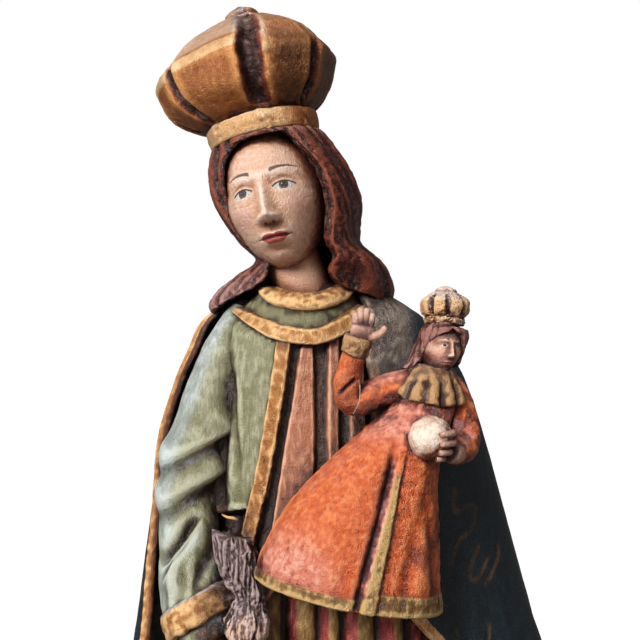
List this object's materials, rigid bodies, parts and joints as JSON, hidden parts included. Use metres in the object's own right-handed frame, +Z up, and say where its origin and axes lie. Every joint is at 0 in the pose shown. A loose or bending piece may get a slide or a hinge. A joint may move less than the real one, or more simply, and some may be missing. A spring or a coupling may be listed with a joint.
{
  "type": "carved santos figure",
  "caption": "Carved and painted wooden santos figure of a crowned woman in a long mantle, with a crowned child on her arm and a gnarled branch in her hand, on a low plinth.",
  "frame": {"origin": "under the middle of the plinth, at the height it stands on", "axes": "+Z up through the figure, which looks along -Y; +X is the woman's left, where the child sits"},
  "size_m": [0.236, 0.176, 0.4878],
  "materials": {
    "painted_wood": "old oil paint over carved wood, satin varnish, grime in the hollows",
    "painted_wood_child": "old oil paint over carved wood, satin varnish, dust and dark specks",
    "weathered_wood": "bare, grey, fibrous weathered branch",
    "stained_wood": "dark stained and waxed wood"
  },
  "bodies": {
    "root": {"crowned_woman": "painted_wood", "crowned_child": "painted_wood_child", "gnarled_branch": "weathered_wood", "plinth": "stained_wood"}
  },
  "joints": []
}
